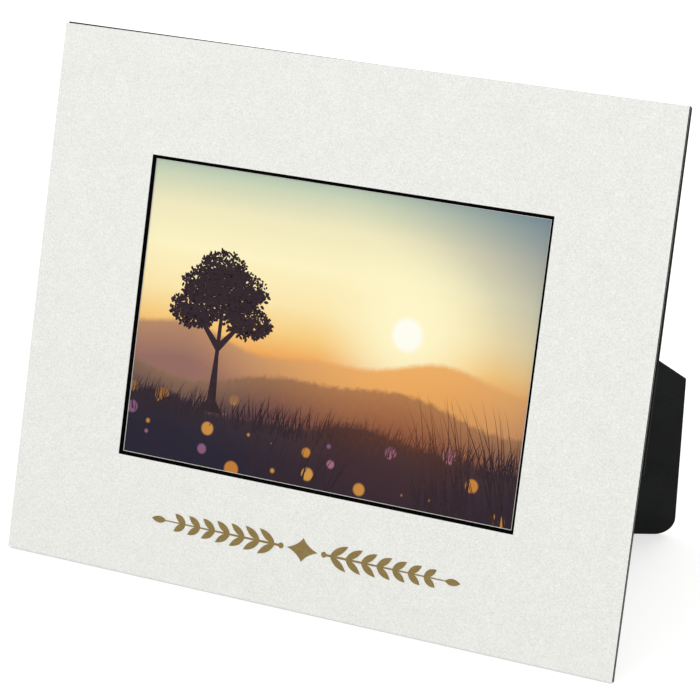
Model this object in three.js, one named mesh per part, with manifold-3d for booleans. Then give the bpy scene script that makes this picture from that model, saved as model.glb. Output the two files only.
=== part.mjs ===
// Picture mount with an easel strut, standing on a table
// Sizes are millimetres and angles are degrees. +Z is up and the front faces -Y.
// The origin lies under the middle of the whole object, on the surface that it stands on.

import * as THREE from 'three';
import { mergeVertices } from 'three/addons/utils/BufferGeometryUtils.js';
import Module from 'manifold-3d';

const wasm = await Module();
wasm.setup();

// Print, window and mount
const inch = 25.4;
const printWidth = 7 * inch;
const printHeight = 5 * inch;
const windowLap = 0.25 * inch;       // the mount covers this much of the print on every side
const margin = 1.75 * inch;          // from the window to the mount's edge, the same all round

// Thickness of each ply, from the front to the back
const facingThickness = 0.2;
const coreThickness = 0.75;
const liningThickness = 0.15;
const inkThickness = 0.05;
const printThickness = 0.2;
const linerThickness = 0.4;
const backThickness = 0.8;
const bondGap = 0.06;                // glue line between two plies
const printGap = 0.04;               // air in front of the ink, under it and behind the print

// Window edge
const bevelRun = 1.3;                // how far the cut through the core slopes inwards
const liningLip = 0.2;               // white line of lining that shows inside the bevel

// Pocket
const pocketClearance = 1;           // between the print and the spacers round it
const spacerInset = 3;               // the spacers stay this far from the mount's edge

// Back board and strut
const backSkew = 0.5;                // the back board is glued on crooked by this at each end
const leanAngle = 14.1;
const strutLength = 209;             // from the crease to the corner of the nose
const creaseWidth = 59;
const footEdge = 73.3;               // each straight edge beside the nose
const noseRadius = 8;
const dieCut = 0.3;                  // width of the cut round the strut
const cornerLift = 1.4;              // the back board's corner above the cut stands off by this
const creaseSkin = 0.3;              // what is left of the board behind the crease's half cut

// Picture. Heights, places and sizes are shares of half the print, counted from its middle.
const skyWave = { level: 0.315, height: 0.035, length: 0.292, shift: 0.112 };
const farWave = { level: -0.11, height: 0.054, length: 0.214, shift: -0.202 };
const nearWave = { level: -0.3, height: 0.06, length: 0.259, shift: 0.247 };
const shoreWave = { level: -0.52, height: 0.041, length: 0.169, shift: 0.056 };
const rippleShare = 0.4;             // each line has a second, smaller wave on it
const ripplePace = 2.3;
const waveSteps = 40;
const sun = { place: [0.349, 0.102], radius: 0.094 };
const inkJoint = 0.05;               // between two fields of colour, in millimetres

// Foil ornament on the lower margin
const foilThickness = 0.05;
const foilHeight = 23;               // middle of the ornament above the mount's bottom edge
const lozengeWidth = 13;
const lozengeHeight = 9;
const sprigLength = 52;
const sprigGap = 2.5;                // between the lozenge and each sprig
const stemWidth = 0.9;
const stemTaper = 0.4;               // the stem's tip is this share of its width
const leafLength = 8.5;
const leafWidth = 2.6;
const leafPitch = 6.4;
const leafAngle = 34;
const leafSteps = 6;                 // straight steps along each side of a leaf
const leafBelly = 0.45;              // a leaf is widest at this share of its length
const leafTaper = 0.05;              // each pair is shorter than the one before it by this share
const firstLeaf = 0.4;               // from the bead to the first pair, in leaf pitches
const tipLength = 0.75;              // the leaf at the tip, as a share of a full leaf
const tipLap = 0.3;                  // how far it starts inside the stem's end
const lozengeHollow = 0.3;           // how close its curved sides come to its middle
const beadRadius = 1.1;

// Sizes that follow
const windowWidth = printWidth - 2 * windowLap;
const windowHeight = printHeight - 2 * windowLap;
const mountWidth = windowWidth + 2 * margin;
const mountHeight = windowHeight + 2 * margin;
const middleHeight = mountHeight / 2;
const spacerThickness = inkThickness + printThickness + 3 * printGap - 2 * bondGap;

// Depth of each ply's front, measured from the front of the mount
const coreDepth = facingThickness + bondGap;
const liningDepth = coreDepth + coreThickness + bondGap;
const spacerDepth = liningDepth + liningThickness + bondGap;
const linerDepth = spacerDepth + spacerThickness + bondGap;
const sheetDepth = linerDepth - printGap - printThickness;
const inkDepth = sheetDepth - printGap - inkThickness;
const backDepth = linerDepth + linerThickness + bondGap;
const foilDepth = -printGap - foilThickness;

// The strut opens until its foot edge lies flat on the table.
// Folded, its nose fills the mount's lower right corner, so the mount stands on either side.
const lean = THREE.MathUtils.degToRad(leanAngle);
const opening = 2 * Math.atan(Math.SQRT2 * Math.tan(lean));
const strutNormalRise = Math.sin(opening) * Math.cos(lean) / Math.SQRT2
  - Math.cos(opening) * Math.sin(lean);
const innerDrop = (backThickness - creaseSkin) * strutNormalRise - creaseSkin * Math.sin(lean);
const noseInset = innerDrop / Math.cos(lean);
const creaseX = mountWidth / 2 - noseInset - strutLength / Math.SQRT2;
const creaseZ = noseInset + strutLength / Math.SQRT2;
const shoulder = footEdge / Math.SQRT2;

const finishes = {
  facing: new THREE.MeshStandardMaterial({ color: '#ecede9', roughness: 0.8, metalness: 0 }),
  core: new THREE.MeshStandardMaterial({ color: '#0b0b0c', roughness: 0.9, metalness: 0 }),
  lining: new THREE.MeshStandardMaterial({ color: '#dcdcd6', roughness: 0.85, metalness: 0 }),
  backCard: new THREE.MeshStandardMaterial({ color: '#1e201f', roughness: 0.85, metalness: 0 }),
  photoPaper: new THREE.MeshStandardMaterial({ color: '#f1f0ea', roughness: 0.4, metalness: 0 }),
  foil: new THREE.MeshStandardMaterial({ color: '#98824f', roughness: 0.4, metalness: 0.6 }),
  skyHigh: new THREE.MeshStandardMaterial({ color: '#a9bda8', roughness: 0.45, metalness: 0 }),
  skyLow: new THREE.MeshStandardMaterial({ color: '#f8e9b6', roughness: 0.45, metalness: 0 }),
  sun: new THREE.MeshStandardMaterial({ color: '#fffbe0', roughness: 0.45, metalness: 0 }),
  farHills: new THREE.MeshStandardMaterial({ color: '#c99a5c', roughness: 0.45, metalness: 0 }),
  nearHills: new THREE.MeshStandardMaterial({ color: '#6f4a44', roughness: 0.45, metalness: 0 }),
  shore: new THREE.MeshStandardMaterial({ color: '#322b3e', roughness: 0.45, metalness: 0 }),
  amberLight: new THREE.MeshStandardMaterial({ color: '#d9893a', roughness: 0.45, metalness: 0 }),
  violetLight: new THREE.MeshStandardMaterial({ color: '#9a6685', roughness: 0.45, metalness: 0 }),
};

// Solids: a closed mesh becomes a solid for joining and cutting, and goes back to a mesh
function toSolid(geometry) {
  const bare = geometry.clone();
  bare.deleteAttribute('normal');
  bare.deleteAttribute('uv');
  const merged = mergeVertices(bare, 1e-3);
  return new wasm.Manifold(new wasm.Mesh({
    numProp: 3,
    vertProperties: new Float32Array(merged.attributes.position.array),
    triVerts: new Uint32Array(merged.index.array),
  }));
}

function toGeometry(solid) {
  const mesh = solid.getMesh();
  const geometry = new THREE.BufferGeometry();
  geometry.setAttribute('position', new THREE.BufferAttribute(new Float32Array(mesh.vertProperties), 3));
  geometry.setIndex(new THREE.BufferAttribute(new Uint32Array(mesh.triVerts), 1));
  return geometry;
}

// A flat sheet from an outline of the board seen from the front, X to the right and Z up
function sheet(outline, thickness, curveSegments = 12) {
  const options = { depth: thickness, bevelEnabled: false, curveSegments };
  const geometry = new THREE.ExtrudeGeometry(outline, options);
  geometry.rotateX(Math.PI / 2);
  geometry.translate(0, thickness, 0);
  return geometry;
}

function polygon(points) {
  return new THREE.Shape(points.map(([x, z]) => new THREE.Vector2(x, z)));
}

function rectangle(left, bottom, right, top) {
  return polygon([[left, bottom], [right, bottom], [right, top], [left, top]]);
}

// The mount's whole outline with a window of the given size in its middle
function framedOutline(holeWidth, holeHeight) {
  const outline = rectangle(-mountWidth / 2, 0, mountWidth / 2, mountHeight);
  const low = middleHeight - holeHeight / 2;
  const high = middleHeight + holeHeight / 2;
  outline.holes.push(rectangle(-holeWidth / 2, low, holeWidth / 2, high));
  return outline;
}

// Core board: the cutter is a box that narrows towards the back, so the window gets its bevel
function coreBoard() {
  const overshoot = 1;
  const slope = bevelRun / coreThickness;
  const cutter = new THREE.BoxGeometry(1, 1, 1);
  const corners = cutter.attributes.position;
  for (let i = 0; i < corners.count; i += 1) {
    const depth = corners.getY(i) < 0 ? -overshoot : coreThickness + overshoot;
    const halfWidth = windowWidth / 2 - slope * depth;
    const halfHeight = windowHeight / 2 - slope * depth;
    const x = Math.sign(corners.getX(i)) * halfWidth;
    const z = middleHeight + Math.sign(corners.getZ(i)) * halfHeight;
    corners.setXYZ(i, x, depth, z);
  }
  const blank = sheet(rectangle(-mountWidth / 2, 0, mountWidth / 2, mountHeight), coreThickness);
  return toGeometry(toSolid(blank).subtract(toSolid(cutter)));
}

// Spacers: three strips that keep the two halves apart and leave the right side open for the print
function spacerOutlines() {
  const outerX = mountWidth / 2 - spacerInset;
  const innerX = printWidth / 2 + pocketClearance;
  const innerHigh = middleHeight + printHeight / 2 + pocketClearance;
  const innerLow = middleHeight - printHeight / 2 - pocketClearance;
  return {
    spacer_top: rectangle(-outerX, innerHigh, outerX, mountHeight - spacerInset),
    spacer_left: rectangle(-outerX, innerLow + bondGap, -innerX, innerHigh - bondGap),
    spacer_bottom: rectangle(-outerX, spacerInset, outerX, innerLow),
  };
}

// Back board: the panel with the strut's place cut out of it, seen from the front.
// The corner between the cut and the mount's top right is apart, because it bends back a little.
function panelSolid() {
  const half = creaseWidth / 2 / Math.SQRT2;
  const footEnd = noseInset + footEdge + dieCut * Math.SQRT2;
  const creaseTop = [creaseX + half, creaseZ + half];
  const topRight = [mountWidth / 2, mountHeight - backSkew];
  const flat = polygon([
    [-mountWidth / 2, 0],
    [mountWidth / 2 - footEnd, 0],
    [creaseX - half, creaseZ - half],
    creaseTop,
    topRight,
    [-mountWidth / 2, mountHeight + backSkew],
  ]);
  const corner = sheet(polygon([creaseTop, [mountWidth / 2, footEnd], topRight]), backThickness);
  const points = corner.attributes.position;
  for (let i = 0; i < points.count; i += 1) {
    if (points.getZ(i) < creaseZ) {
      points.setY(i, points.getY(i) + cornerLift);
    }
  }
  return toSolid(sheet(flat, backThickness)).add(toSolid(corner));
}

// The strut lies along X from its crease, with its nose at the far end
function strutOutline() {
  const outline = new THREE.Shape();
  outline.moveTo(0, -creaseWidth / 2);
  outline.lineTo(strutLength - shoulder, -shoulder);
  const arcCentre = strutLength - noseRadius * Math.SQRT2;
  outline.absarc(arcCentre, 0, noseRadius, -Math.PI / 4, Math.PI / 4, false);
  outline.lineTo(strutLength - shoulder, shoulder);
  outline.lineTo(0, creaseWidth / 2);
  return outline;
}

// The strut is part of the back board. It turns backwards about the skin behind its crease.
function backBoard() {
  const strut = new THREE.ExtrudeGeometry(strutOutline(), {
    depth: backThickness,
    bevelEnabled: false,
    curveSegments: 16,
  });
  strut.translate(0, 0, -creaseSkin);
  strut.rotateY(opening);
  const along = new THREE.Vector3(1, 0, -1).normalize();
  const across = new THREE.Vector3(1, 0, 1).normalize();
  const forward = new THREE.Vector3(0, -1, 0);
  strut.applyMatrix4(new THREE.Matrix4().makeBasis(along, across, forward));
  strut.translate(creaseX, backThickness - creaseSkin, creaseZ);
  return toGeometry(panelSolid().add(toSolid(strut)));
}

// Picture: bands of sky, hills and shore between gentle waves, on the print's own middle
const halfPrintWidth = printWidth / 2;
const halfPrintHeight = printHeight / 2;
const printTop = () => 1;
const printFoot = () => -1;

function wave({ level, height, length, shift }) {
  const ripple = rippleShare * height;
  return (across) => level
    + height * Math.sin((across + shift) / length)
    + ripple * Math.sin((across - shift) / length * ripplePace);
}

function band(lowEdge, highEdge) {
  const low = [];
  const high = [];
  for (let i = 0; i <= waveSteps; i += 1) {
    const across = 2 * i / waveSteps - 1;
    const x = across * halfPrintWidth;
    low.push([x, middleHeight + lowEdge(across) * halfPrintHeight]);
    high.unshift([x, middleHeight + highEdge(across) * halfPrintHeight - inkJoint]);
  }
  return polygon([...low, ...high]);
}

// A round spot, or the hole that it leaves in its band, which is wider by the joint
function disc({ place: [across, up], radius }, joint = 0) {
  const outline = new THREE.Shape();
  const x = across * halfPrintWidth;
  const z = middleHeight + up * halfPrintHeight;
  outline.absarc(x, z, radius * halfPrintHeight + joint, 0, 2 * Math.PI, false);
  return outline;
}

// Out-of-focus lights on the hills and the shore: place, radius, band and colour
const lights = [
  { place: [-0.697, -0.43], radius: 0.041, band: 'ink_near_hills', finish: 'violetLight' },
  { place: [-0.517, -0.71], radius: 0.054, band: 'ink_shore', finish: 'amberLight' },
  { place: [-0.225, -0.79], radius: 0.038, band: 'ink_shore', finish: 'violetLight' },
  { place: [0.09, -0.68], radius: 0.06, band: 'ink_shore', finish: 'amberLight' },
  { place: [0.45, -0.79], radius: 0.044, band: 'ink_shore', finish: 'amberLight' },
  { place: [0.742, -0.69], radius: 0.054, band: 'ink_shore', finish: 'violetLight' },
];

function pictureOutlines() {
  const skyEdge = wave(skyWave);
  const farEdge = wave(farWave);
  const nearEdge = wave(nearWave);
  const shoreEdge = wave(shoreWave);
  const bands = {
    ink_sky_high: band(skyEdge, printTop),
    ink_sky_low: band(farEdge, skyEdge),
    ink_far_hills: band(nearEdge, farEdge),
    ink_near_hills: band(shoreEdge, nearEdge),
    ink_shore: band(printFoot, shoreEdge),
  };
  bands.ink_sky_low.holes.push(disc(sun, inkJoint));
  for (const light of lights) {
    bands[light.band].holes.push(disc(light, inkJoint));
  }
  return bands;
}

// Foil ornament: a lozenge with hollow sides between two leafy sprigs
function lozengeOutline() {
  const x = lozengeWidth / 2;
  const z = lozengeHeight / 2;
  const innerX = lozengeHollow * x;
  const innerZ = lozengeHollow * z;
  const outline = new THREE.Shape();
  outline.moveTo(x, foilHeight);
  outline.quadraticCurveTo(innerX, foilHeight + innerZ, 0, foilHeight + z);
  outline.quadraticCurveTo(-innerX, foilHeight + innerZ, -x, foilHeight);
  outline.quadraticCurveTo(-innerX, foilHeight - innerZ, 0, foilHeight - z);
  outline.quadraticCurveTo(innerX, foilHeight - innerZ, x, foilHeight);
  return outline;
}

// A pointed leaf that grows from the stem at x, turned up or down by its angle
function leafOutline(x, angle, length) {
  const point = (along, across) => [
    x + along * Math.cos(angle) - across * Math.sin(angle),
    foilHeight + along * Math.sin(angle) + across * Math.cos(angle),
  ];
  const outline = new THREE.Shape();
  outline.moveTo(...point(0, 0));
  outline.quadraticCurveTo(...point(leafBelly * length, -leafWidth), ...point(length, 0));
  outline.quadraticCurveTo(...point(leafBelly * length, leafWidth), ...point(0, 0));
  return outline;
}

// The right sprig. Its leaves get shorter towards the tip, and the tip itself is one leaf.
function sprig() {
  const start = lozengeWidth / 2 + sprigGap;
  const end = start + sprigLength;
  const halfStem = stemWidth / 2;
  const halfTip = stemTaper * halfStem;
  const stem = polygon([
    [start, foilHeight - halfStem],
    [end, foilHeight - halfTip],
    [end, foilHeight + halfTip],
    [start, foilHeight + halfStem],
  ]);
  let solid = toSolid(sheet(stem, foilThickness));
  const bead = new THREE.Shape();
  bead.absarc(start, foilHeight, beadRadius, 0, 2 * Math.PI, false);
  solid = solid.add(toSolid(sheet(bead, foilThickness)));
  const angle = THREE.MathUtils.degToRad(leafAngle);
  const leafCount = Math.floor((sprigLength - leafLength) / leafPitch) + 1;
  for (let i = 0; i < leafCount; i += 1) {
    const x = start + leafPitch * (i + firstLeaf);
    const length = leafLength * (1 - leafTaper * i);
    for (const side of [-1, 1]) {
      const leaf = leafOutline(x, side * angle, length);
      solid = solid.add(toSolid(sheet(leaf, foilThickness, leafSteps)));
    }
  }
  const tip = leafOutline(end - tipLap * leafLength, 0, tipLength * leafLength);
  return solid.add(toSolid(sheet(tip, foilThickness, leafSteps)));
}

// Board: every ply is placed at its own depth
const board = new THREE.Group();

function addPly(name, geometry, finish, depth) {
  const faceted = geometry.index ? geometry.toNonIndexed() : geometry;
  faceted.computeVertexNormals();
  const mesh = new THREE.Mesh(faceted, finishes[finish].clone());
  mesh.name = name;
  mesh.position.y = depth;
  board.add(mesh);
}

const facingOutline = framedOutline(windowWidth, windowHeight);
const liningInset = 2 * (bevelRun + liningLip);
const liningOutline = framedOutline(windowWidth - liningInset, windowHeight - liningInset);
addPly('facing_paper', sheet(facingOutline, facingThickness), 'facing', 0);
addPly('core_board', coreBoard(), 'core', coreDepth);
addPly('lining_paper', sheet(liningOutline, liningThickness), 'lining', liningDepth);
for (const [name, outline] of Object.entries(spacerOutlines())) {
  addPly(name, sheet(outline, spacerThickness), 'lining', spacerDepth);
}

const printOutline = rectangle(
  -printWidth / 2,
  middleHeight - printHeight / 2,
  printWidth / 2,
  middleHeight + printHeight / 2,
);
addPly('print_sheet', sheet(printOutline, printThickness), 'photoPaper', sheetDepth);
const bandFinishes = {
  ink_sky_high: 'skyHigh',
  ink_sky_low: 'skyLow',
  ink_far_hills: 'farHills',
  ink_near_hills: 'nearHills',
  ink_shore: 'shore',
};
for (const [name, outline] of Object.entries(pictureOutlines())) {
  addPly(name, sheet(outline, inkThickness), bandFinishes[name], inkDepth);
}
addPly('ink_sun', sheet(disc(sun), inkThickness), 'sun', inkDepth);
lights.forEach((light, i) => {
  addPly(`ink_light_${i + 1}`, sheet(disc(light), inkThickness), light.finish, inkDepth);
});

const linerOutline = rectangle(-mountWidth / 2, 0, mountWidth / 2, mountHeight);
addPly('pocket_liner', sheet(linerOutline, linerThickness), 'core', linerDepth);
addPly('back_board', backBoard(), 'backCard', backDepth);

addPly('foil_lozenge', sheet(lozengeOutline(), foilThickness), 'foil', foilDepth);
const rightSprig = sprig();
addPly('foil_sprig_right', toGeometry(rightSprig), 'foil', foilDepth);
addPly('foil_sprig_left', toGeometry(rightSprig.mirror([1, 0, 0])), 'foil', foilDepth);

// The board leans back on its strut. Its lowest edges set the height of the origin.
const pictureMount = new THREE.Group();
board.rotation.x = -lean;
pictureMount.add(board);
pictureMount.updateMatrixWorld(true);
const reach = new THREE.Box3().setFromObject(pictureMount, true);
board.position.set(0, -(reach.min.y + reach.max.y) / 2, -reach.min.z);

export default pictureMount;
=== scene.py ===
import math

import bmesh
import bpy
from mathutils import Matrix, Vector


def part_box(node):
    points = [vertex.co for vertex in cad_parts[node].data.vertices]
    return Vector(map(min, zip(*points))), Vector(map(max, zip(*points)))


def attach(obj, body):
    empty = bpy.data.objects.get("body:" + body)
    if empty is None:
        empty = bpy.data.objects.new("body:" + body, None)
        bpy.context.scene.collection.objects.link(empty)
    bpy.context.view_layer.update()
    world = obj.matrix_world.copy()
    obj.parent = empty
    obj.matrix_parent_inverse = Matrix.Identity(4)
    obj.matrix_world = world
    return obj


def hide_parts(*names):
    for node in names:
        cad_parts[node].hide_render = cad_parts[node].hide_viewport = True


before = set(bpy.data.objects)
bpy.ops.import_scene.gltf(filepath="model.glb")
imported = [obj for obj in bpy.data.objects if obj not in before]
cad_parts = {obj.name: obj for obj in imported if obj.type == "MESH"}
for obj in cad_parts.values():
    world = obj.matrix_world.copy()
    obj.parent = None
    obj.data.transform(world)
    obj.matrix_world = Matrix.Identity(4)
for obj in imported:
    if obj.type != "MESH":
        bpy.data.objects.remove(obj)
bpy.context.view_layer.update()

mm = 0.001


# Whatever is printed is drawn upright and then leant back with the board, by the same angle as the solids
board = {
    "leanDegrees": 14.1,
    "facingThickness": 0.2 * mm,
    "inkFront": 1.26 * mm,      # depth of the picture's surface behind the front of the facing paper
    "inkThickness": 0.05 * mm,
    "middleHeight": 101.6 * mm,     # middle of the print above the bottom edge
}

lean = math.radians(board["leanDegrees"])
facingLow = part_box("facing_paper")[0]
boardFoot = Vector((0, facingLow.y, facingLow.z + board["facingThickness"] * math.sin(lean)))
boardMatrix = Matrix.Translation(boardFoot) @ Matrix.Rotation(-lean, 4, "X")
pictureMiddle = boardMatrix @ Vector((0, board["inkFront"], board["middleHeight"]))
print("frame loaded, board leans", board["leanDegrees"], "degrees")


# Colours, nodes and materials

def toLinear(hexColour):
    values = [int(hexColour[i:i + 2], 16) / 255 for i in (1, 3, 5)]
    return tuple(v / 12.92 if v <= 0.04045 else ((v + 0.055) / 1.055) ** 2.4 for v in values) + (1,)


def addNode(tree, kind, settings=None, inputs=None):
    node = tree.nodes.new(kind)
    for name, value in (settings or {}).items():
        setattr(node, name, value)
    for key, value in (inputs or {}).items():
        if isinstance(value, bpy.types.NodeSocket):
            tree.links.new(value, node.inputs[key])
        else:
            node.inputs[key].default_value = value
    return node


def newMaterial(name, roughness, metallic=0.0, specular=0.5):
    material = bpy.data.materials.new(name)
    material.use_nodes = True
    shader = material.node_tree.nodes["Principled BSDF"]
    shader.inputs["Roughness"].default_value = roughness
    shader.inputs["Metallic"].default_value = metallic
    shader.inputs["Specular IOR Level"].default_value = specular
    return material, material.node_tree, shader


def setRamp(node, stops):
    ramp = node.color_ramp
    while len(ramp.elements) > 1:
        ramp.elements.remove(ramp.elements[-1])
    ramp.elements[0].position = stops[0][0]
    ramp.elements[0].color = toLinear(stops[0][1])
    for position, colour in stops[1:]:
        ramp.elements.new(position).color = toLinear(colour)


# Blends the two colours of a finish and raises its grain; on the facing paper and the foil the darker colour
# is painted shade in the grain's hollows
def finishSurface(tree, shader, look, colours, share, height):
    first, second = [toLinear(look[name]) for name in colours]
    colour = addNode(tree, "ShaderNodeMix", {"data_type": "RGBA"}, {0: share, 6: first, 7: second}).outputs[2]
    bump = addNode(tree, "ShaderNodeBump", None, {
        "Strength": look["bumpStrength"], "Distance": look["grainHeight"], "Height": height,
    }).outputs["Normal"]
    tree.links.new(colour, shader.inputs["Base Color"])
    tree.links.new(bump, shader.inputs["Normal"])


def useMaterial(material, *names):
    for name in names:
        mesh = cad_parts[name].data
        mesh.materials.clear()
        mesh.materials.append(material)


# Facing paper: heavy off-white paper, rolled with a fine pebbled grain, so it is matt; its faint mottling is
# painted shade, darker in the grain's hollows and lighter on its crests
embossedPaper = {
    "colour": "#F9F9F5",
    "hollowShadeColour": "#DEDFDA",
    "roughness": 0.72,
    "specular": 0.4,
    "cloudWidth": 9 * mm,
    "grainWidth": 0.75 * mm,
    "fibreWidth": 0.4 * mm,
    "cloudShare": 0.2,          # how much clouds and fibres count in the height, where the grain counts 1
    "fibreShare": 1.3,
    "hollowLevel": 0.9,         # summed heights between which the colour goes from the painted hollow shade to the crest
    "crestLevel": 1.6,
    "grainHeight": 0.06 * mm,
    "bumpStrength": 0.5,
}


def makeEmbossedPaper(look):
    material, tree, shader = newMaterial(
        "embossed off-white paper", look["roughness"], specular=look["specular"])
    place = addNode(tree, "ShaderNodeTexCoord").outputs["Object"]
    cloud, grain, fibre = [addNode(tree, "ShaderNodeTexNoise", None, {
        "Vector": place, "Scale": 1 / look[width], "Detail": 2.0, "Roughness": 0.6,
    }).outputs["Fac"] for width in ("cloudWidth", "grainWidth", "fibreWidth")]
    pebbles = addNode(tree, "ShaderNodeMath", {"operation": "MULTIPLY_ADD"}, {
        0: cloud, 1: look["cloudShare"], 2: grain,
    }).outputs[0]
    height = addNode(tree, "ShaderNodeMath", {"operation": "MULTIPLY_ADD"}, {
        0: fibre, 1: look["fibreShare"], 2: pebbles,
    }).outputs[0]
    shade = addNode(tree, "ShaderNodeMapRange", None, {
        0: height, 1: look["hollowLevel"], 2: look["crestLevel"],
    }).outputs[0]
    # The hollows of the grain are painted a darker shade and its crests a lighter colour
    finishSurface(tree, shader, look, ("hollowShadeColour", "colour"), shade, height)
    return material


# Card: wood-fibre board dyed through, so its faces and cut edges are the same colour and quite matt
cardGrain = {
    "cloudWidth": 16.667 * mm,
    "plainLevel": 0.12,         # fibre times cloud, from the plain colour to the flecks
    "fleckLevel": 0.42,
    "grainHeight": 0.03 * mm,
    "bumpStrength": 0.3,
}
coreCard = {
    "name": "black core board", "colour": "#040405", "fleckColour": "#0C0C0D",
    "fibre": 0.4 * mm, "roughness": 0.95, "specular": 0.0,
}
linerCard = {
    "name": "black pocket liner", "colour": "#121313", "fleckColour": "#1B1C1C",
    "fibre": 0.5 * mm, "roughness": 0.85, "specular": 0.1,
}
backCard = {
    "name": "black backing card", "colour": "#222423", "fleckColour": "#2F3130",
    "fibre": 0.6 * mm, "roughness": 0.8, "specular": 0.1,
}
liningCard = {
    "name": "pale lining paper", "colour": "#D6D5CE", "fleckColour": "#C6C4BB",
    "fibre": 0.6 * mm, "roughness": 0.85, "specular": 0.4,
}
photoPaper = {
    "name": "white photo paper", "colour": "#F1F0EA", "fleckColour": "#E8E7E0",
    "fibre": 0.6 * mm, "roughness": 0.5, "specular": 0.5,
}


def makeCard(card):
    look = {**cardGrain, **card}
    material, tree, shader = newMaterial(look["name"], look["roughness"], specular=look["specular"])
    place = addNode(tree, "ShaderNodeTexCoord").outputs["Object"]
    fibre = addNode(tree, "ShaderNodeTexNoise", None, {
        "Vector": place, "Scale": 1 / look["fibre"], "Detail": 4.0, "Roughness": 0.65,
    }).outputs["Fac"]
    cloud = addNode(tree, "ShaderNodeTexNoise", None, {
        "Vector": place, "Scale": 1 / look["cloudWidth"], "Detail": 2.0,
    }).outputs["Fac"]
    blend = addNode(tree, "ShaderNodeMath", {"operation": "MULTIPLY"}, {0: fibre, 1: cloud}).outputs[0]
    shade = addNode(tree, "ShaderNodeMapRange", None, {
        0: blend, 1: look["plainLevel"], 2: look["fleckLevel"],
    }).outputs[0]
    finishSurface(tree, shader, look, ("colour", "fleckColour"), shade, fibre)
    return material


# Foil: metallised film stamped into the paper, old gold, with the paper's grain just showing through it; the
# darker gold in the grain's dips is painted shade
goldFoil = {
    "colour": "#A18B58",
    "grainShadeColour": "#7B693F",
    "roughness": 0.38,
    "metallic": 0.9,
    "grainWidth": 1.0 * mm,
    "grainHeight": 0.03 * mm,
    "bumpStrength": 0.25,
}


def makeFoil(look):
    material, tree, shader = newMaterial(
        "old gold stamping foil", look["roughness"], metallic=look["metallic"])
    place = addNode(tree, "ShaderNodeTexCoord").outputs["Object"]
    grain = addNode(tree, "ShaderNodeTexNoise", None, {
        "Vector": place, "Scale": 1 / look["grainWidth"], "Detail": 3.0,
    }).outputs["Fac"]
    # Where the grain dips the gold is painted darker, as shade
    finishSurface(tree, shader, look, ("grainShadeColour", "colour"), grain, grain)
    return material


useMaterial(makeEmbossedPaper(embossedPaper), "facing_paper")
useMaterial(makeCard(coreCard), "core_board")
useMaterial(makeCard(linerCard), "pocket_liner")
useMaterial(makeCard(backCard), "back_board")
useMaterial(makeCard(liningCard), "lining_paper", "spacer_top", "spacer_left", "spacer_bottom")
useMaterial(makeCard(photoPaper), "print_sheet")
useMaterial(makeFoil(goldFoil), "foil_lozenge", "foil_sprig_left", "foil_sprig_right")
print("paper, card and foil done")


# Picture: a soft evening landscape. Its places and distances are millimetres from the middle of the print.
picture = {
    "width": 177.8 * mm,
    "height": 127.0 * mm,
    "roughness": 0.42,
    "specular": 0.15,
    "sky": [
        (0.00, "#EFA658"), (0.12, "#F7CC7E"), (0.28, "#FCE7AE"), (0.50, "#FDF3C4"),
        (0.72, "#F0E8BF"), (0.88, "#CBD4B8"), (1.00, "#9FB8AC"),
    ],
    "skyFoot": -10,
    "skyHead": 60,
    "cornerColour": "#566F88",
    "cornerSlant": 0.9,         # the sky darkens to the upper right, and height counts this much of width
    "cornerStart": 40,
    "cornerEnd": 150,
    "cornerShare": 0.85,
    "sun": (31, 6.5),
    "sunRadius": 6,
    "sunBlur": 0.25,            # the sun's edge fades by this share of its radius, inwards and outwards
    "sunColour": "#FFFEF2",
    "glowCore": 4,
    "glowReach": 40,
    "glowShare": 0.9,
    "glowColour": "#FFF8CC",
    "sunnyReach": 12,           # distances from the sun between which the slopes go from sunny to shaded
    "shadedReach": 95,
    "mistDepth": 14,
    "mistColour": "#F4BC76",
}
# Each ridge: its level, and its swell's height, length to one radian and sideways shift. "rough" is how far
# the foliage rises and dips, and "blur" is half the width of the soft edge.
ridges = {
    "far": {"level": -7, "height": 3.4, "length": 19, "shift": -18, "rough": 1.6, "blur": 1.4,
            "mist": 0.3, "sunny": "#EBA75A", "shaded": "#946A60"},
    "near": {"level": -19, "height": 3.8, "length": 23, "shift": 22, "rough": 4.0, "blur": 1.1,
             "mist": 0.22, "sunny": "#9A5C38", "shaded": "#453342"},
    "shore": {"level": -33, "height": 2.6, "length": 15, "shift": 5, "rough": 6.0, "blur": 1.6,
              "mist": 0.015, "sunny": "#4A2B2A", "shaded": "#201A2C"},
}
ridgeLine = {
    "rippleHeight": 0.4,        # of the swell's height
    "rippleRate": 2.3,          # ripples to one swell
    "foliageScale": 0.35,       # cells to a millimetre
    "foliageDetail": 5.0,
    "foliageRoughness": 0.62,
}
spots = {
    "pitch": 11,
    "looseness": 0.9,
    "emptyShare": 0.25,         # a cell whose draw is lower than this has no light in it
    "largest": 0.3,             # radius as a share of the pitch
    "blur": (-0.02, 0.07),      # a light fades in over this much of the pitch, from its edge inwards
    "top": -24,                 # the lights fade in from here down to the full height
    "full": -38,
    "strength": 0.75,
    "colours": [(0.0, "#D98A33"), (0.45, "#E8A94A"), (0.5, "#8E5F86"), (1.0, "#B9788C")],
}


def pictureCoordinates(tree):
    place = addNode(tree, "ShaderNodeTexCoord").outputs["Object"]
    mapping = addNode(tree, "ShaderNodeMapping", {"vector_type": "TEXTURE"}, {
        "Vector": place, "Location": pictureMiddle, "Rotation": (-lean, 0, 0), "Scale": (mm, mm, mm),
    })
    return mapping.outputs[0]


def sunDistance(tree, place):
    return addNode(tree, "ShaderNodeVectorMath", {"operation": "DISTANCE"}, {
        0: place, 1: (picture["sun"][0], 0, picture["sun"][1]),
    }).outputs["Value"]


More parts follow.
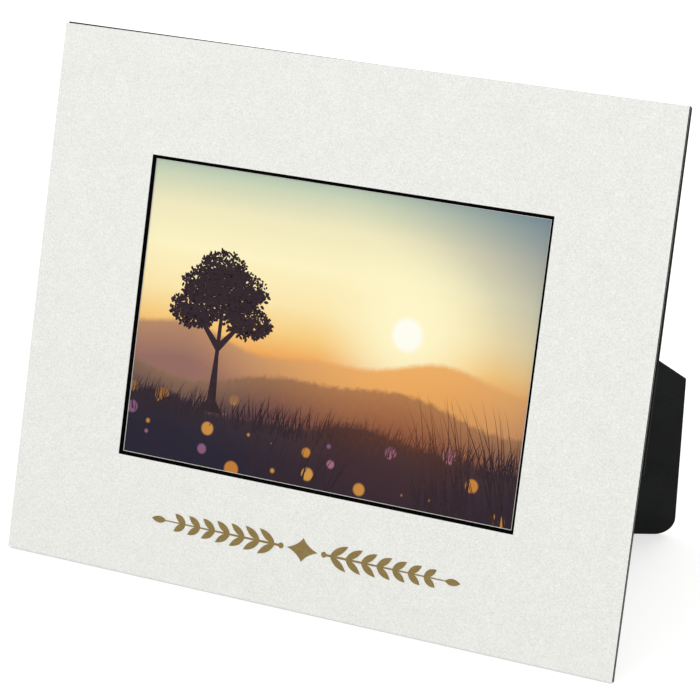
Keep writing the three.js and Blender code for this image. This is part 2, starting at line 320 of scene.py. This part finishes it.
def skyColour(tree, look, across, up, distance):
    level = addNode(tree, "ShaderNodeMapRange", None, {
        0: up, 1: look["skyFoot"], 2: look["skyHead"],
    }).outputs[0]
    sky = addNode(tree, "ShaderNodeValToRGB", None, {0: level})
    setRamp(sky, look["sky"])
    sideways = addNode(tree, "ShaderNodeMath", {"operation": "MULTIPLY_ADD"}, {
        0: up, 1: look["cornerSlant"], 2: across,
    }).outputs[0]
    corner = addNode(tree, "ShaderNodeMapRange", {"interpolation_type": "SMOOTHSTEP"}, {
        0: sideways, 1: look["cornerStart"], 2: look["cornerEnd"], 4: look["cornerShare"],
    }).outputs[0]
    glow = addNode(tree, "ShaderNodeMapRange", {"interpolation_type": "SMOOTHSTEP"}, {
        0: distance, 1: look["glowReach"], 2: look["glowCore"], 4: look["glowShare"],
    }).outputs[0]
    disc = addNode(tree, "ShaderNodeMapRange", {"interpolation_type": "SMOOTHSTEP"}, {
        0: distance,
        1: look["sunRadius"] * (1 + look["sunBlur"]),
        2: look["sunRadius"] * (1 - look["sunBlur"]),
    }).outputs[0]
    colour = sky.outputs[0]
    for share, name in ((corner, "cornerColour"), (glow, "glowColour"), (disc, "sunColour")):
        colour = addNode(tree, "ShaderNodeMix", {"data_type": "RGBA"}, {
            0: share, 6: colour, 7: toLinear(look[name]),
        }).outputs[2]
    return colour


# How far a point lies below a ridge's wavy, leafy line, and the soft mask of what is below it
def ridgeMask(tree, place, across, up, ridge):
    def sine(shift, pitch, size):
        angle = addNode(tree, "ShaderNodeMath", {"operation": "MULTIPLY_ADD"}, {
            0: across, 1: 1 / pitch, 2: shift / pitch,
        }).outputs[0]
        wave = addNode(tree, "ShaderNodeMath", {"operation": "SINE"}, {0: angle}).outputs[0]
        return addNode(tree, "ShaderNodeMath", {"operation": "MULTIPLY"}, {0: wave, 1: size}).outputs[0]
    swell = sine(ridge["shift"], ridge["length"], ridge["height"])
    rippleLength = ridge["length"] / ridgeLine["rippleRate"]
    ripple = sine(-ridge["shift"], rippleLength, ridgeLine["rippleHeight"] * ridge["height"])
    leaves = addNode(tree, "ShaderNodeTexNoise", None, {
        "Vector": place, "Scale": ridgeLine["foliageScale"], "Detail": ridgeLine["foliageDetail"],
        "Roughness": ridgeLine["foliageRoughness"],
    }).outputs["Fac"]
    foliage = addNode(tree, "ShaderNodeMath", {"operation": "MULTIPLY_ADD"}, {
        0: leaves, 1: ridge["rough"], 2: ridge["level"] - ridge["rough"] / 2,
    }).outputs[0]
    line = addNode(tree, "ShaderNodeMath", {"operation": "ADD"}, {0: swell, 1: ripple}).outputs[0]
    edge = addNode(tree, "ShaderNodeMath", {"operation": "ADD"}, {0: line, 1: foliage}).outputs[0]
    below = addNode(tree, "ShaderNodeMath", {"operation": "SUBTRACT"}, {0: edge, 1: up}).outputs[0]
    mask = addNode(tree, "ShaderNodeMapRange", {"interpolation_type": "SMOOTHSTEP"}, {
        0: below, 1: -ridge["blur"], 2: ridge["blur"],
    }).outputs[0]
    return mask, below


# Each ridge is sunny near the sun, shaded far from it and misty along its top
def addRidges(tree, look, place, across, up, distance, colour):
    warmth = addNode(tree, "ShaderNodeMapRange", {"interpolation_type": "SMOOTHSTEP"}, {
        0: distance, 1: look["sunnyReach"], 2: look["shadedReach"],
    }).outputs[0]
    for ridge in ridges.values():
        mask, below = ridgeMask(tree, place, across, up, ridge)
        slope = addNode(tree, "ShaderNodeMix", {"data_type": "RGBA"}, {
            0: warmth, 6: toLinear(ridge["sunny"]), 7: toLinear(ridge["shaded"]),
        }).outputs[2]
        mist = addNode(tree, "ShaderNodeMapRange", None, {
            0: below, 1: 0.0, 2: look["mistDepth"], 3: ridge["mist"], 4: 0.0,
        }).outputs[0]
        slope = addNode(tree, "ShaderNodeMix", {"data_type": "RGBA"}, {
            0: mist, 6: slope, 7: toLinear(look["mistColour"]),
        }).outputs[2]
        colour = addNode(tree, "ShaderNodeMix", {"data_type": "RGBA"}, {
            0: mask, 6: colour, 7: slope,
        }).outputs[2]
    return colour


# Soft round lights: one in each cell of a loose pattern, each with its own size and tint
def addSpots(tree, look, across, up, colour):
    flat = addNode(tree, "ShaderNodeCombineXYZ", None, {0: across, 1: up}).outputs[0]
    cells = addNode(tree, "ShaderNodeTexVoronoi", {"voronoi_dimensions": "2D"}, {
        "Vector": flat, "Scale": 1 / look["pitch"], "Randomness": look["looseness"],
    })
    chance = addNode(tree, "ShaderNodeSeparateColor", None, {0: cells.outputs["Color"]})
    radius = addNode(tree, "ShaderNodeMapRange", None, {
        0: chance.outputs[0], 1: look["emptyShare"], 2: 1.0, 3: 0.0, 4: look["largest"],
    }).outputs[0]
    inside = addNode(tree, "ShaderNodeMath", {"operation": "SUBTRACT"}, {
        0: radius, 1: cells.outputs["Distance"],
    }).outputs[0]
    spot = addNode(tree, "ShaderNodeMapRange", {"interpolation_type": "SMOOTHSTEP"}, {
        0: inside, 1: look["blur"][0], 2: look["blur"][1],
    }).outputs[0]
    low = addNode(tree, "ShaderNodeMapRange", {"interpolation_type": "SMOOTHSTEP"}, {
        0: up, 1: look["top"], 2: look["full"], 4: look["strength"],
    }).outputs[0]
    share = addNode(tree, "ShaderNodeMath", {"operation": "MULTIPLY"}, {0: spot, 1: low}).outputs[0]
    tint = addNode(tree, "ShaderNodeValToRGB", None, {0: chance.outputs[1]})
    setRamp(tint, look["colours"])
    return addNode(tree, "ShaderNodeMix", {"data_type": "RGBA"}, {
        0: share, 6: colour, 7: tint.outputs[0],
    }).outputs[2]


# Print: pigment ink on satin photo paper, smooth and slightly shiny, with colours that melt into each other
def makePrintedPicture(look):
    material, tree, shader = newMaterial("satin photo print", look["roughness"], specular=look["specular"])
    place = pictureCoordinates(tree)
    axes = addNode(tree, "ShaderNodeSeparateXYZ", None, {0: place})
    across, up = axes.outputs[0], axes.outputs[2]
    distance = sunDistance(tree, place)
    colour = skyColour(tree, look, across, up, distance)
    colour = addRidges(tree, look, place, across, up, distance, colour)
    colour = addSpots(tree, spots, across, up, colour)
    tree.links.new(colour, shader.inputs["Base Color"])
    return material


def linkObject(name, data):
    item = bpy.data.objects.new(name, data)
    bpy.context.scene.collection.objects.link(item)
    return item


# The sides of a thickened face come in no fixed order, so all faces are sorted by this place on a slanted line
def faceRank(face):
    x, y, z = face.calc_center_median()
    return x + 0.618 * y + 0.414 * z


# Flat faces in the board's plane become thin closed prisms
def thicken(mesh, thickness):
    shape = bmesh.new()
    shape.from_mesh(mesh)
    grown = bmesh.ops.extrude_face_region(shape, geom=list(shape.faces))
    moved = [item for item in grown["geom"] if isinstance(item, bmesh.types.BMVert)]
    bmesh.ops.translate(shape, verts=moved, vec=(0, thickness, 0))
    bmesh.ops.recalc_face_normals(shape, faces=shape.faces)
    shape.faces.sort(key=faceRank)
    shape.to_mesh(mesh)
    shape.free()


def flatPiece(name, outline, front, thickness, material):
    mesh = bpy.data.meshes.new(name)
    mesh.from_pydata([(x, front, z) for x, z in outline], [], [range(len(outline))])
    thicken(mesh, thickness)
    mesh.materials.append(material)
    return linkObject(name, mesh)


def placeOnBoard(piece):
    piece.data.transform(boardMatrix)
    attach(piece, "root")


inkNodes = [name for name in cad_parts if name.startswith("ink_")]
halfWidth, halfHeight = picture["width"] / 2, picture["height"] / 2
middle = board["middleHeight"]
pictureOutline = [
    (-halfWidth, middle - halfHeight), (halfWidth, middle - halfHeight),
    (halfWidth, middle + halfHeight), (-halfWidth, middle + halfHeight),
]
printedPicture = flatPiece(
    "printedPicture", pictureOutline, board["inkFront"], board["inkThickness"], makePrintedPicture(picture))
placeOnBoard(printedPicture)
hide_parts(*inkNodes)
print("picture done")


# Plants: dark shapes printed over the landscape, grown as flat leaves or blades on scattered points
plants = {
    "sunnyColour": "#8A4A22",
    "shadeColour": "#2A1C24",
    "sunnyReach": 6,            # distances from the sun, in millimetres, between which the ink darkens
    "shadedReach": 62,
    "tintScale": 0.5,           # cells to a millimetre
    "tintSpread": 0.3,
    "front": 1.232 * mm,        # depth of the nearest leaf, behind the lining paper
    "stepBack": 0.014 * mm,     # the leaves are spread over this much depth, in front of the picture
    "thickness": 0.002 * mm,
    "bladeRows": 8,
    "joinDistance": 0.001 * mm,     # the two corners at a blade's point become one
    "crowding": 0.6,            # 0.5 fills a crown evenly, and more draws the leaves to its middle
    "reachSeed": 7.0,           # added to the seed for the second draw of a leaf's place
}
# Each bed of grass: its middle from the middle of the print, in millimetres, and what its blades are like
grassBeds = {
    "shoreGrass": {
        "middle": (0, -40), "Span": 174 * mm, "Rise": 7 * mm,
        "Count": 620, "Length": 10 * mm, "Width": 0.6 * mm, "Bend": 1.6 * mm,
        "Turn": math.radians(20), "Small": 0.4, "Seed": 4,
    },
    "tallGrassRight": {
        "middle": (64, -62), "Span": 44 * mm, "Rise": 5 * mm,
        "Count": 70, "Length": 50 * mm, "Width": 1.0 * mm, "Bend": -11 * mm,
        "Turn": math.radians(13), "Small": 0.35, "Seed": 9,
    },
    "tallGrassLeft": {
        "middle": (-12, -64), "Span": 38 * mm, "Rise": 4 * mm,
        "Count": 34, "Length": 36 * mm, "Width": 0.9 * mm, "Bend": 8 * mm,
        "Turn": math.radians(16), "Small": 0.35, "Seed": 2,
    },
}
# Each crown: its middle from the middle of the print, and its width and height, in millimetres
crowns = [
    (-46, 9, 30, 19),
    (-58, 2, 20, 12),
    (-35, 1, 20, 12),
    (-47, 19, 20, 13),
    (-54, 12, 20, 14),
    (-38, 12, 20, 14),
]
crownLeaves = {
    "Count": 520, "Length": 2.3 * mm, "Width": 1.3 * mm, "Bend": 0.2 * mm, "Turn": math.pi, "Small": 0.5,
}
# The trunk and two boughs, in millimetres from the middle of the print, counted anticlockwise
wood = [
    [
        (-51.5, -35), (-41.0, -35), (-44.2, -30.5), (-45.2, -14),
        (-45.2, 10), (-46.6, 10), (-46.9, -14), (-48.0, -30.5),
    ],
    [(-46.6, -12), (-45.6, -9), (-57.6, 3), (-58.4, 2.4)],
    [(-46.3, -9), (-45.4, -12), (-35.0, 1.4), (-35.8, 2.0)],
]
# Inputs that both trees of nodes have
bladeSockets = {
    "Count": "Int", "Length": "Float", "Width": "Float", "Bend": "Float", "Turn": "Float", "Small": "Float",
    "Seed": "Int", "Step back": "Float", "Material": "Material",
}


# Ink of the plants: the print's own satin ink, warm brown near the sun and nearly black away from it
def makeShadeInk(look):
    material, tree, shader = newMaterial(
        "dark satin print ink", picture["roughness"], specular=picture["specular"])
    place = pictureCoordinates(tree)
    warmth = addNode(tree, "ShaderNodeMapRange", {"interpolation_type": "SMOOTHSTEP"}, {
        0: sunDistance(tree, place), 1: look["sunnyReach"], 2: look["shadedReach"],
    }).outputs[0]
    grain = addNode(tree, "ShaderNodeTexNoise", None, {
        "Vector": place, "Scale": look["tintScale"], "Detail": 2.0,
    }).outputs["Fac"]
    tint = addNode(tree, "ShaderNodeMath", {"operation": "MULTIPLY_ADD"}, {
        0: grain, 1: look["tintSpread"], 2: -look["tintSpread"] / 2,
    }).outputs[0]
    blend = addNode(tree, "ShaderNodeMath", {"operation": "ADD", "use_clamp": True}, {
        0: warmth, 1: tint,
    }).outputs[0]
    colour = addNode(tree, "ShaderNodeMix", {"data_type": "RGBA"}, {
        0: blend, 6: toLinear(look["sunnyColour"]), 7: toLinear(look["shadeColour"]),
    }).outputs[2]
    tree.links.new(colour, shader.inputs["Base Color"])
    return material


def newTree(name, placeSockets):
    tree = bpy.data.node_groups.new(name, "GeometryNodeTree")
    for label, kind in {**placeSockets, **bladeSockets}.items():
        tree.interface.new_socket(label, in_out="INPUT", socket_type="NodeSocket" + kind)
    tree.interface.new_socket("Geometry", in_out="OUTPUT", socket_type="NodeSocketGeometry")
    return tree, tree.nodes.new("NodeGroupInput").outputs


# One blade or leaf, standing on the origin in the board's plane
def addBlade(tree, size, pointedFoot):
    grid = addNode(tree, "GeometryNodeMeshGrid", None, {
        "Size X": 1.0, "Size Y": 1.0, "Vertices X": 2, "Vertices Y": plants["bladeRows"],
    })
    position = addNode(tree, "GeometryNodeInputPosition").outputs[0]
    corner = addNode(tree, "ShaderNodeSeparateXYZ", None, {0: position})
    along = addNode(tree, "ShaderNodeMath", {"operation": "ADD", "use_clamp": True}, {
        0: corner.outputs[1], 1: 0.5,
    }).outputs[0]
    if pointedFoot:
        turn = addNode(tree, "ShaderNodeMath", {"operation": "MULTIPLY"}, {0: along, 1: math.pi}).outputs[0]
        taper = addNode(tree, "ShaderNodeMath", {"operation": "SINE"}, {0: turn}).outputs[0]
    else:
        taper = addNode(tree, "ShaderNodeMath", {"operation": "SUBTRACT"}, {0: 1.0, 1: along}).outputs[0]
    half = addNode(tree, "ShaderNodeMath", {"operation": "MULTIPLY"}, {
        0: taper, 1: corner.outputs[0],
    }).outputs[0]
    side = addNode(tree, "ShaderNodeMath", {"operation": "MULTIPLY"}, {0: half, 1: size["Width"]}).outputs[0]
    square = addNode(tree, "ShaderNodeMath", {"operation": "MULTIPLY"}, {0: along, 1: along}).outputs[0]
    across = addNode(tree, "ShaderNodeMath", {"operation": "MULTIPLY_ADD"}, {
        0: square, 1: size["Bend"], 2: side,
    }).outputs[0]
    up = addNode(tree, "ShaderNodeMath", {"operation": "MULTIPLY"}, {0: along, 1: size["Length"]}).outputs[0]
    place = addNode(tree, "ShaderNodeCombineXYZ", None, {0: across, 2: up}).outputs[0]
    moved = addNode(tree, "GeometryNodeSetPosition", None, {
        "Geometry": grid.outputs["Mesh"], "Position": place,
    })
    return addNode(tree, "GeometryNodeMergeByDistance", None, {
        "Geometry": moved.outputs[0], "Distance": plants["joinDistance"],
    }).outputs[0]


# Instances a blade on every point, each with its own turn, size and small step in depth, and ends the tree
def plantBlades(tree, size, points, blade):
    turned = addNode(tree, "ShaderNodeCombineXYZ", None, {1: size["Turn"]}).outputs[0]
    back = addNode(tree, "ShaderNodeMath", {"operation": "MULTIPLY"}, {0: size["Turn"], 1: -1.0}).outputs[0]
    turnedBack = addNode(tree, "ShaderNodeCombineXYZ", None, {1: back}).outputs[0]
    rotation = addNode(tree, "FunctionNodeRandomValue", {"data_type": "FLOAT_VECTOR"}, {
        0: turnedBack, 1: turned, "Seed": size["Seed"],
    }).outputs[0]
    scale = addNode(tree, "FunctionNodeRandomValue", {"data_type": "FLOAT"}, {
        2: size["Small"], 3: 1.0, "Seed": size["Seed"],
    }).outputs[1]
    placed = addNode(tree, "GeometryNodeInstanceOnPoints", None, {
        "Points": points, "Instance": blade, "Rotation": rotation, "Scale": scale,
    }).outputs[0]
    depth = addNode(tree, "FunctionNodeRandomValue", {"data_type": "FLOAT"}, {
        2: 0.0, 3: size["Step back"], "Seed": size["Seed"],
    }).outputs[1]
    shift = addNode(tree, "ShaderNodeCombineXYZ", None, {1: depth}).outputs[0]
    stepped = addNode(tree, "GeometryNodeTranslateInstances", None, {
        "Instances": placed, "Translation": shift, "Local Space": False,
    }).outputs[0]
    real = addNode(tree, "GeometryNodeRealizeInstances", None, {"Geometry": stepped}).outputs[0]
    inked = addNode(tree, "GeometryNodeSetMaterial", None, {
        "Geometry": real, "Material": size["Material"],
    }).outputs[0]
    addNode(tree, "NodeGroupOutput", None, {0: inked})


def makeGrassTree():
    tree, size = newTree("grass along a line", {"Span": "Float", "Rise": "Float"})
    half = addNode(tree, "ShaderNodeMath", {"operation": "MULTIPLY"}, {0: size["Span"], 1: 0.5}).outputs[0]
    left = addNode(tree, "ShaderNodeMath", {"operation": "MULTIPLY"}, {0: half, 1: -1.0}).outputs[0]
    low = addNode(tree, "ShaderNodeCombineXYZ", None, {0: left}).outputs[0]
    high = addNode(tree, "ShaderNodeCombineXYZ", None, {0: half, 2: size["Rise"]}).outputs[0]
    place = addNode(tree, "FunctionNodeRandomValue", {"data_type": "FLOAT_VECTOR"}, {
        0: low, 1: high, "Seed": size["Seed"],
    }).outputs[0]
    points = addNode(tree, "GeometryNodePoints", None, {"Count": size["Count"], "Position": place}).outputs[0]
    plantBlades(tree, size, points, addBlade(tree, size, False))
    return tree


def makeCrownTree():
    tree, size = newTree("leaves in a round crown", {"Width of crown": "Float", "Height of crown": "Float"})
    angle = addNode(tree, "FunctionNodeRandomValue", {"data_type": "FLOAT"}, {
        2: 0.0, 3: 2 * math.pi, "Seed": size["Seed"],
    }).outputs[1]
    later = addNode(tree, "ShaderNodeMath", {"operation": "ADD"}, {
        0: size["Seed"], 1: plants["reachSeed"],
    }).outputs[0]
    chance = addNode(tree, "FunctionNodeRandomValue", {"data_type": "FLOAT"}, {
        2: 0.0, 3: 1.0, "Seed": later,
    }).outputs[1]
    reach = addNode(tree, "ShaderNodeMath", {"operation": "POWER"}, {
        0: chance, 1: plants["crowding"],
    }).outputs[0]
    axes = []
    for operation, extent in (("COSINE", "Width of crown"), ("SINE", "Height of crown")):
        swing = addNode(tree, "ShaderNodeMath", {"operation": operation}, {0: angle}).outputs[0]
        part = addNode(tree, "ShaderNodeMath", {"operation": "MULTIPLY"}, {0: swing, 1: reach}).outputs[0]
        half = addNode(tree, "ShaderNodeMath", {"operation": "MULTIPLY"}, {
            0: size[extent], 1: 0.5,
        }).outputs[0]
        axes.append(addNode(tree, "ShaderNodeMath", {"operation": "MULTIPLY"}, {0: part, 1: half}).outputs[0])
    place = addNode(tree, "ShaderNodeCombineXYZ", None, {0: axes[0], 2: axes[1]}).outputs[0]
    points = addNode(tree, "GeometryNodePoints", None, {"Count": size["Count"], "Position": place}).outputs[0]
    plantBlades(tree, size, points, addBlade(tree, size, True))
    return tree


# The modifier's inputs are set before it is first evaluated, and its result becomes a plain mesh
def growMesh(name, tree, sizes):
    start = bpy.data.meshes.new(name + "Start")
    holder = linkObject(name + "Start", start)
    modifier = holder.modifiers.new("grow", "NODES")
    modifier.node_group = tree
    for item in tree.interface.items_tree:
        if item.in_out == "INPUT":
            modifier[item.identifier] = sizes[item.name]
    grown = bpy.data.meshes.new_from_object(holder.evaluated_get(bpy.context.evaluated_depsgraph_get()))
    grown.name = name
    holder.modifiers.remove(modifier)
    bpy.data.objects.remove(holder)
    bpy.data.meshes.remove(start)
    return grown


def joinMeshes(name, meshes):
    shape = bmesh.new()
    for mesh in meshes:
        shape.from_mesh(mesh)
    joined = bpy.data.meshes.new(name)
    shape.to_mesh(joined)
    shape.free()
    joined.materials.clear()
    joined.materials.append(shadeInk)
    joined.polygons.foreach_set("material_index", [0] * len(joined.polygons))
    for mesh in meshes:
        bpy.data.meshes.remove(mesh)
    return joined


def printPlant(name, meshes):
    mesh = joinMeshes(name, meshes)
    thicken(mesh, plants["thickness"])
    piece = linkObject(name, mesh)
    placeOnBoard(piece)


def moveTo(mesh, x, z):
    mesh.transform(Matrix.Translation((x, plants["front"], board["middleHeight"] + z)))
    return mesh


shadeInk = makeShadeInk(plants)
common = {"Step back": plants["stepBack"], "Material": shadeInk}
grassTree = makeGrassTree()
for name, bed in grassBeds.items():
    x, z = bed["middle"]
    printPlant(name, [moveTo(growMesh(name, grassTree, {**bed, **common}), x * mm, z * mm)])

crownTree = makeCrownTree()
leafMeshes = []
for seed, (x, z, width, height) in enumerate(crowns):
    crown = {"Width of crown": width * mm, "Height of crown": height * mm, "Seed": seed}
    leaves = growMesh("crown", crownTree, {**crownLeaves, **common, **crown})
    leafMeshes.append(moveTo(leaves, x * mm, z * mm))
woodMeshes = []
for i, outline in enumerate(wood):
    woodMesh = bpy.data.meshes.new("wood")
    depth = plants["stepBack"] + i * plants["thickness"]
    woodMesh.from_pydata([(x * mm, depth, z * mm) for x, z in outline], [], [range(len(outline))])
    woodMeshes.append(moveTo(woodMesh, 0, 0))
printPlant("loneTree", leafMeshes + woodMeshes)
print("plants done")

# Stage, lights and camera
stage = {
    "floorSize": 6.0,
    "floorColour": "#DCDCDA",
    "floorLift": 0.55,          # makes the floor as pale as the backdrop to the camera, and lights nothing
    "roughness": 0.9,
}


def makeFloor(look):
    material, tree, shader = newMaterial("pale studio paper", look["roughness"])
    shader.inputs["Base Color"].default_value = toLinear(look["floorColour"])
    shader.inputs["Emission Color"].default_value = (1, 1, 1, 1)
    seen = addNode(tree, "ShaderNodeLightPath").outputs["Is Camera Ray"]
    lift = addNode(tree, "ShaderNodeMath", {"operation": "MULTIPLY"}, {
        0: seen, 1: look["floorLift"],
    }).outputs[0]
    tree.links.new(lift, shader.inputs["Emission Strength"])
    half = look["floorSize"] / 2
    corners = [(-half, -half, 0), (half, -half, 0), (half, half, 0), (-half, half, 0)]
    mesh = bpy.data.meshes.new("floor")
    mesh.from_pydata(corners, [], [(0, 1, 2, 3)])
    mesh.materials.append(material)
    floor = linkObject("floor", mesh)


makeFloor(stage)

# Each lamp: where it stands, how wide it is and its power in watts. All of them face the board's middle.
lamps = {
    "keyLamp": {"place": (-0.9, -1.6, 1.7), "size": 1.4, "power": 17},
    "fillLamp": {"place": (1.7, -1.1, 1.1), "size": 1.6, "power": 9.5},
    "backLamp": {"place": (0.5, 1.6, 1.5), "size": 1.2, "power": 7},
}
lampTarget = (0, 0, 0.1)
worldLight = {"strength": 0.66, "colour": "#FFFFFF"}


def aimAt(thing, target):
    thing.rotation_euler = (Vector(target) - thing.location).to_track_quat("-Z", "Y").to_euler()


for name, lamp in lamps.items():
    light = bpy.data.lights.new(name, "AREA")
    light.size = lamp["size"]
    light.energy = lamp["power"]
    lampObject = linkObject(name, light)
    lampObject.location = lamp["place"]
    aimAt(lampObject, lampTarget)


# The backdrop is plain white to the camera and to mirror-like rays, and lights the rest more softly
def makeWorld(look):
    world = bpy.data.worlds.new("studio")
    world.use_nodes = True
    tree = world.node_tree
    background = tree.nodes["Background"]
    background.inputs["Color"].default_value = toLinear(look["colour"])
    path = addNode(tree, "ShaderNodeLightPath")
    seen = path.outputs["Is Camera Ray"]
    for ray in ("Is Glossy Ray", "Is Transmission Ray"):
        seen = addNode(tree, "ShaderNodeMath", {"operation": "MAXIMUM"}, {
            0: seen, 1: path.outputs[ray],
        }).outputs[0]
    strength = addNode(tree, "ShaderNodeMapRange", None, {0: seen, 3: look["strength"], 4: 1.0}).outputs[0]
    tree.links.new(strength, background.inputs["Strength"])
    bpy.context.scene.world = world


makeWorld(worldLight)

camera = {
    "place": (0.4993, -0.972098, 0.46216),
    "turnDegrees": (70.804, -0.435, 27.993),
    "lens": 156.95,
    "sensorWidth": 36,
}
cameraData = bpy.data.cameras.new("photoCamera")
cameraData.sensor_width = camera["sensorWidth"]
cameraData.lens = camera["lens"]
cameraObject = linkObject("photoCamera", cameraData)
cameraObject.location = camera["place"]
cameraObject.rotation_euler = [math.radians(angle) for angle in camera["turnDegrees"]]
bpy.context.scene.camera = cameraObject
bpy.context.scene.view_settings.view_transform = "Standard"
print("stage, lights and camera done")
